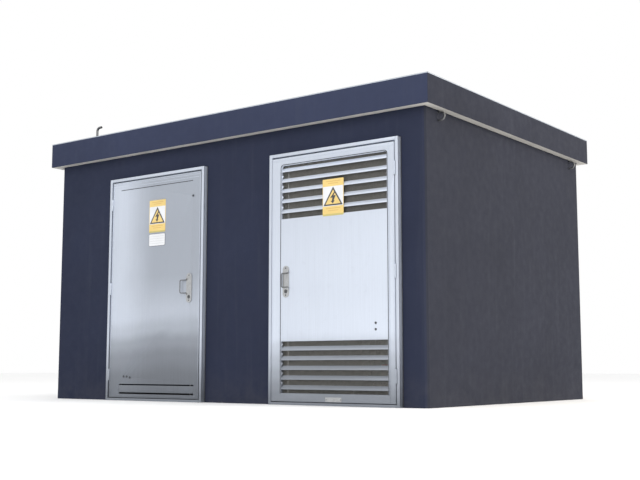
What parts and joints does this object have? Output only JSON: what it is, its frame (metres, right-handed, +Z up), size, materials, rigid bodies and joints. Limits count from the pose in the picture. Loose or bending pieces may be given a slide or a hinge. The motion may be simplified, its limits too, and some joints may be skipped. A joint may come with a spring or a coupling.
{
  "type": "transformer kiosk",
  "caption": "Concrete kiosk with flat roof, two metal doors, one louvred, holding a transformer, switchgear and a low-voltage board.",
  "frame": {"origin": "centre of the walls on the ground", "axes": "+X along the front to the right, -Y out of the doors, +Z up"},
  "size_m": [4.48, 3.11, 2.777],
  "materials": {
    "wall_paint": "matt trowelled plaster paint",
    "concrete": "smooth cast",
    "alloy": "satin anodised",
    "sheet_grey": "powder coated",
    "zinc": "zinc plated",
    "steel": "galvanised",
    "tank_paint": "semi-gloss",
    "rubber": "matt",
    "black_plastic": "matt",
    "white_plastic": "satin",
    "sign_yellow": "printed enamel",
    "copper": "bare",
    "porcelain": "glazed",
    "core_steel": "laminated",
    "red_paint": "gloss",
    "mv_jacket": "satin",
    "lv_jacket": "satin"
  },
  "bodies": {
    "building": {"base_slab": "concrete", "front_wall": "wall_paint", "rear_wall": "wall_paint", "left_wall": "wall_paint", "right_wall": "wall_paint", "partition_wall": "concrete", "roof_slab": "wall_paint", "roof_fixings": "zinc", "lifting_loops": "steel", "roof_pipe": "steel", "left_door_frame": "alloy", "right_door_frame": "alloy", "door_linings": "alloy", "door_seals": "rubber", "frame_hinges": "zinc", "lamp": "white_plastic", "earth_bar": "copper", "switchgear_cabinet": "sheet_grey", "switchgear_covers": "sheet_grey", "lv_cabinet": "sheet_grey", "lv_fuse_ways": "black_plastic", "transformer_tank": "tank_paint", "transformer_cover": "tank_paint", "transformer_core": "core_steel", "bushings": "porcelain", "transformer_pads": "rubber", "transformer_rails": "zinc", "mv_cables": "mv_jacket", "lv_cables": "lv_jacket"},
    "left_door": {"left_door_leaf": "alloy", "left_leaf_hinges": "zinc", "left_vent": "alloy", "left_lock_plate": "zinc", "left_lock_case": "zinc", "left_signs": "sign_yellow", "left_bolts": "steel"},
    "left_bail": {"left_bail": "steel"},
    "left_spindle": {"left_lock_spindle": "steel"},
    "left_upper_rod": {"left_rod_upper": "zinc"},
    "left_lower_rod": {"left_rod_lower": "zinc"},
    "right_door": {"right_door_leaf": "alloy", "right_leaf_hinges": "zinc", "upper_louvre": "alloy", "lower_louvre": "alloy", "louvre_mesh": "steel", "right_lock_plate": "zinc", "right_lock_case": "zinc", "right_signs": "sign_yellow", "right_bolts": "steel"},
    "right_bail": {"right_bail": "steel"},
    "right_spindle": {"right_lock_spindle": "steel"},
    "right_upper_rod": {"right_rod_upper": "zinc"},
    "right_lower_rod": {"right_rod_lower": "zinc"},
    "switch_1": {"switch_handle_1": "black_plastic"},
    "switch_2": {"switch_handle_2": "black_plastic"},
    "switch_3": {"switch_handle_3": "black_plastic"},
    "board_door": {"lv_door": "sheet_grey"},
    "main_switch": {"lv_main_switch": "black_plastic"},
    "tap_changer": {"tap_knob": "black_plastic"},
    "drain_valve": {"drain_wheel": "red_paint"}
  },
  "joints": [
    {"name": "left_door_hinge", "type": "hinge", "parent": "building", "child": "left_door", "pos_m": [-1.338, -1.525, 0], "axis": [0, 0, -1], "range_deg": [0, 120]},
    {"name": "right_door_hinge", "type": "hinge", "parent": "building", "child": "right_door", "pos_m": [1.909, -1.525, 0], "axis": [0, 0, 1], "range_deg": [0, 120]},
    {"name": "left_bail_pivot", "type": "hinge", "parent": "left_door", "child": "left_bail", "pos_m": [-0.3235, -1.537, 1.034], "axis": [0, 0, -1], "range_deg": [-170, 8]},
    {"name": "right_bail_pivot", "type": "hinge", "parent": "right_door", "child": "right_bail", "pos_m": [0.8495, -1.537, 1.034], "axis": [0, 0, 1], "range_deg": [0, 178]},
    {"name": "left_lock_turn", "type": "hinge", "parent": "left_door", "child": "left_spindle", "pos_m": [-0.297, -1.53, 0.94], "axis": [0, 1, 0], "range_deg": [0, 90]},
    {"name": "left_upper_rod_slide", "type": "slide", "parent": "left_door", "child": "left_upper_rod", "axis": [0, 0, 1], "range_m": [0, 0.026]},
    {"name": "left_lower_rod_slide", "type": "slide", "parent": "left_door", "child": "left_lower_rod", "axis": [0, 0, -1], "range_m": [0, 0.026]},
    {"name": "right_lock_turn", "type": "hinge", "parent": "right_door", "child": "right_spindle", "pos_m": [0.823, -1.53, 0.94], "axis": [0, 1, 0], "range_deg": [0, 90]},
    {"name": "right_upper_rod_slide", "type": "slide", "parent": "right_door", "child": "right_upper_rod", "axis": [0, 0, 1], "range_m": [0, 0.026]},
    {"name": "right_lower_rod_slide", "type": "slide", "parent": "right_door", "child": "right_lower_rod", "axis": [0, 0, -1], "range_m": [0, 0.026]},
    {"name": "switch_1_turn", "type": "hinge", "parent": "building", "child": "switch_1", "pos_m": [-1.75, 0.635, 1.2], "axis": [0, 1, 0], "range_deg": [0, 90]},
    {"name": "switch_2_turn", "type": "hinge", "parent": "building", "child": "switch_2", "pos_m": [-1.35, 0.635, 1.2], "axis": [0, 1, 0], "range_deg": [0, 90]},
    {"name": "switch_3_turn", "type": "hinge", "parent": "building", "child": "switch_3", "pos_m": [-0.95, 0.635, 1.2], "axis": [0, 1, 0], "range_deg": [0, 90]},
    {"name": "board_door_hinge", "type": "hinge", "parent": "building", "child": "board_door", "pos_m": [0.05, -0.409, 0.06], "axis": [0, 0, 1], "range_deg": [0, 110]},
    {"name": "main_switch_turn", "type": "hinge", "parent": "board_door", "child": "main_switch", "pos_m": [0.06, 0.05, 1.41], "axis": [1, 0, 0], "range_deg": [0, 90]},
    {"name": "tap_turn", "type": "hinge", "parent": "building", "child": "tap_changer", "pos_m": [1.325, -0.435, 1.142], "axis": [0, 0, 1], "range_deg": [-60, 60]},
    {"name": "drain_turn", "type": "hinge", "parent": "building", "child": "drain_valve", "pos_m": [1.245, -0.657, 0.31], "axis": [0, 0, 1], "continuous": true}
  ],
  "couplings": [
    {"joint": "left_lower_rod_slide", "follows": "left_upper_rod_slide", "ratio": 1},
    {"joint": "left_lock_turn", "follows": "left_upper_rod_slide", "rad_per_m": 60.415},
    {"joint": "right_lower_rod_slide", "follows": "right_upper_rod_slide", "ratio": 1},
    {"joint": "right_lock_turn", "follows": "right_upper_rod_slide", "rad_per_m": 60.415}
  ]
}
